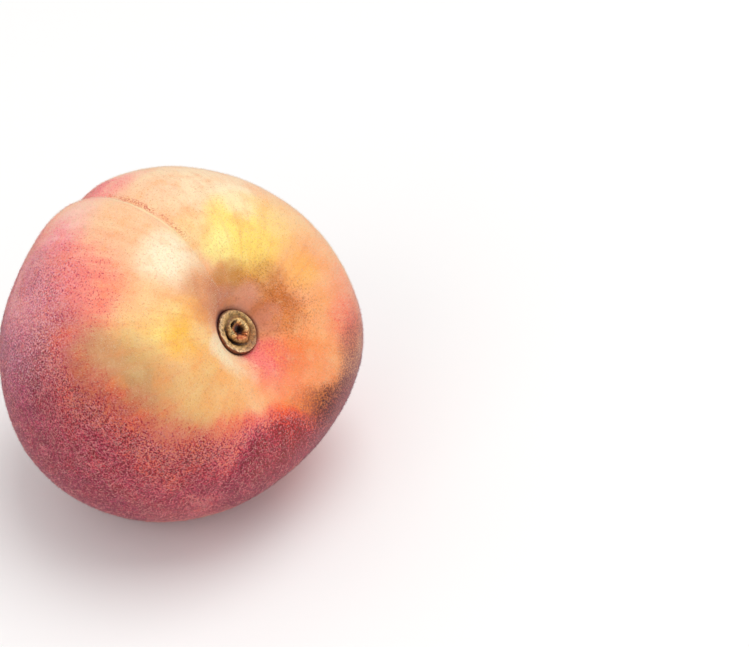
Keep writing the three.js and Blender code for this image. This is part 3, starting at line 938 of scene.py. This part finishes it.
def button_material():
    """Corky stalk scar: dry tan flange, dark furrow, torn orange-brown fibres round a black pit, with painted
    shade in its dips.
    """
    material = new_material("stalk_scar_wood", {"Roughness": 0.5})
    tree = material.node_tree
    own = add(tree, "ShaderNodeAttribute", attribute_name="own_mm").outputs["Vector"]
    ring = add(tree, "ShaderNodeAttribute", attribute_name="ring_share").outputs["Fac"]
    dip = add(tree, "ShaderNodeAttribute", attribute_name="dip_mm").outputs["Fac"]
    out = add(tree, "ShaderNodeAttribute", attribute_name="flange_share").outputs["Fac"]
    # Corky cells and dirt in specks of about half a millimetre, with finer ones in them
    specks = add(tree, "ShaderNodeTexNoise", {
        "Vector": own, "Scale": 1 / 0.55, "Detail": 5, "Roughness": 0.75}).outputs["Fac"]

    # From the pit out: black, partly painted shade in the pit, torn pale collar, brown furrow, flange, and
    # the side below its edge
    rings = add(tree, "ShaderNodeValToRGB", {"Fac": ring})
    fill_ramp(rings.color_ramp, {
        0.0: "#140804", 0.16: "#241008", 0.23: "#7c3414", 0.29: "#d89450", 0.36: "#f6d498", 0.46: "#e4bc78",
        0.56: "#84582c", 0.66: "#94703a", 0.76: "#bc945c", 0.88: "#dcb480", 0.98: "#ecc898", 1.0: "#94502c"})
    on_collar = near_line(tree, ring, 0.36, 0.20)
    strands = add(tree, "ShaderNodeMapRange", {
        "Value": specks, "From Min": 0.60, "From Max": 0.48, "To Min": 0.45}).outputs["Result"]
    layers = []
    # Rust where the last fibres tore off and a browner flange, both towards the flush. The direction of each
    # is in the fruit's own axes, and the distances that way in millimetres
    for towards_it, near, far, share, factors, colour in (
        ((-0.98, 0.2, 0), 0.0, 0.9, 0.95, (on_collar, strands), "#cc4c14"),
        ((-0.8, -0.6, 0), 1.4, 3.8, 0.65, (), "#94522a"),
    ):
        distance = add(tree, "ShaderNodeVectorMath", {0: own, 1: towards_it}, operation="DOT_PRODUCT")
        part = add(tree, "ShaderNodeMapRange", {
            "Value": distance.outputs["Value"], "From Min": near, "From Max": far, "To Max": share,
        }, interpolation_type="SMOOTHSTEP").outputs["Result"]
        for factor in factors:
            part = add(tree, "ShaderNodeMath", {0: part, 1: factor}, operation="MULTIPLY").outputs["Value"]
        layers.append((part, colour))
    # The flange's edge darkens to a dry brown, with painted shade where it meets the crevice
    dry_shaded_edge = add(tree, "ShaderNodeMapRange", {
        "Value": out, "From Min": 0.92, "From Max": 0.99, "To Max": 0.92}).outputs["Result"]
    layers.append((dry_shaded_edge, "#4c1a10"))
    colour = rings.outputs["Color"]
    for part, over in layers:
        colour = add(tree, "ShaderNodeMix", {
            0: part, 6: colour, 7: linear(over)}, data_type="RGBA").outputs[2]

    # Specks darken and lighten all of it, and the dips are nearly black: painted shade in the pit, furrow,
    # tear and cracks, and on the underside
    light = add(tree, "ShaderNodeMapRange", {
        "Value": specks, "From Min": 0.36, "From Max": 0.64, "To Min": 0.3, "To Max": 1.5}).outputs["Result"]
    colour = add(tree, "ShaderNodeVectorMath", {
        0: colour, "Scale": light}, operation="SCALE").outputs["Vector"]
    dip_shade = add(tree, "ShaderNodeMapRange", {
        "Value": dip, "From Min": 0.08, "From Max": 0.65, "To Max": 0.95}).outputs["Result"]
    colour = add(tree, "ShaderNodeMix", {
        0: dip_shade, 6: colour, 7: linear("#280a06")}, data_type="RGBA").outputs[2]

    bump = add(tree, "ShaderNodeBump", {"Height": specks, "Strength": 0.5, "Distance": 0.12 * MM})
    surface = tree.nodes["Principled BSDF"]
    tree.links.new(colour, surface.inputs["Base Color"])
    tree.links.new(bump.outputs["Normal"], surface.inputs["Normal"])
    return material


# ---- Stage, light and camera ----

FLOOR_HALF_SIZE = 3.0
ROOM_LIGHT = 0.68
LAMP_SIZE = 0.8
LAMP_AIM = Vector((0, 0, 0.035))
# Each lamp's name, its watts and its place in metres
LAMPS = (
    ("softbox", 6.0, (0.30, 0.05, 1.15)),
    ("fill", 2.6, (-0.55, -0.85, 0.65)),
)


def make_floor():
    mesh = bpy.data.meshes.new("floor")
    corners = [(x * FLOOR_HALF_SIZE, y * FLOOR_HALF_SIZE, 0) for x, y in ((-1, -1), (1, -1), (1, 1), (-1, 1))]
    mesh.from_pydata(corners, [], [(0, 1, 2, 3)])
    floor = bpy.data.objects.new("floor", mesh)
    bpy.context.scene.collection.objects.link(floor)
    paper = new_material("white_studio_paper", {"Base Color": linear("#f7f6f5"), "Roughness": 0.9})
    mesh.materials.append(paper)


def make_lights():
    world = bpy.data.worlds.new("studio")
    bpy.context.scene.world = world
    world.use_nodes = True
    background = world.node_tree.nodes["Background"]
    background.inputs["Color"].default_value = (1.0, 1.0, 1.0, 1.0)
    background.inputs["Strength"].default_value = ROOM_LIGHT
    for name, watts, place in LAMPS:
        lamp = bpy.data.lights.new(name, "AREA")
        lamp.size = LAMP_SIZE
        lamp.energy = watts
        holder = bpy.data.objects.new(name, lamp)
        bpy.context.scene.collection.objects.link(holder)
        holder.location = place
        holder.rotation_mode = "QUATERNION"
        holder.rotation_quaternion = (LAMP_AIM - holder.location).to_track_quat("-Z", "Y")
    bpy.context.scene.view_settings.view_transform = "Standard"


# The view looks down on the fruit along +Y, from this far above the horizon
VIEW_ELEVATION = 38.0
LENS_MM, SENSOR_MM = 100.0, 36.0
FRAME_PIXELS = (749, 647)
AIM_MM = (2.32, -0.57, 32.2)
AIM_PIXEL = (177.4, 343.8)
MM_PER_PIXEL_AT_AIM = 0.2019


def make_camera():
    elevation = math.radians(VIEW_ELEVATION)
    right = Vector((1, 0, 0))
    up = Vector((0, math.sin(elevation), math.cos(elevation)))
    back = Vector((0, -math.cos(elevation), math.sin(elevation)))
    depth = FRAME_PIXELS[0] * LENS_MM / SENSOR_MM * MM_PER_PIXEL_AT_AIM
    aside = (AIM_PIXEL[0] - FRAME_PIXELS[0] / 2) * MM_PER_PIXEL_AT_AIM
    below = (AIM_PIXEL[1] - FRAME_PIXELS[1] / 2) * MM_PER_PIXEL_AT_AIM
    place = Vector(AIM_MM) + back * depth - right * aside + up * below
    lens = bpy.data.cameras.new("camera")
    lens.lens = LENS_MM
    lens.sensor_width = SENSOR_MM
    camera = bpy.data.objects.new("camera", lens)
    bpy.context.scene.collection.objects.link(camera)
    turn = Matrix((right, up, back)).transposed().to_4x4()
    camera.matrix_world = Matrix.Translation(place * MM) @ turn
    bpy.context.scene.camera = camera


# ---- Put together ----

make_camera()
make_lights()
make_floor()

fruit, grid, theta, phi = make_fruit()
fruit.data.materials.append(skin_material())
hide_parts("fruit")
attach(fruit, "root")

button = make_button()
button.data.materials.append(button_material())
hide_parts("stalk_button")
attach(button, "root")

for piece, colour in zip(make_down(grid, theta, phi), DOWN_COLOURS):
    piece.data.materials.append(down_material(colour))
    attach(piece, "root")
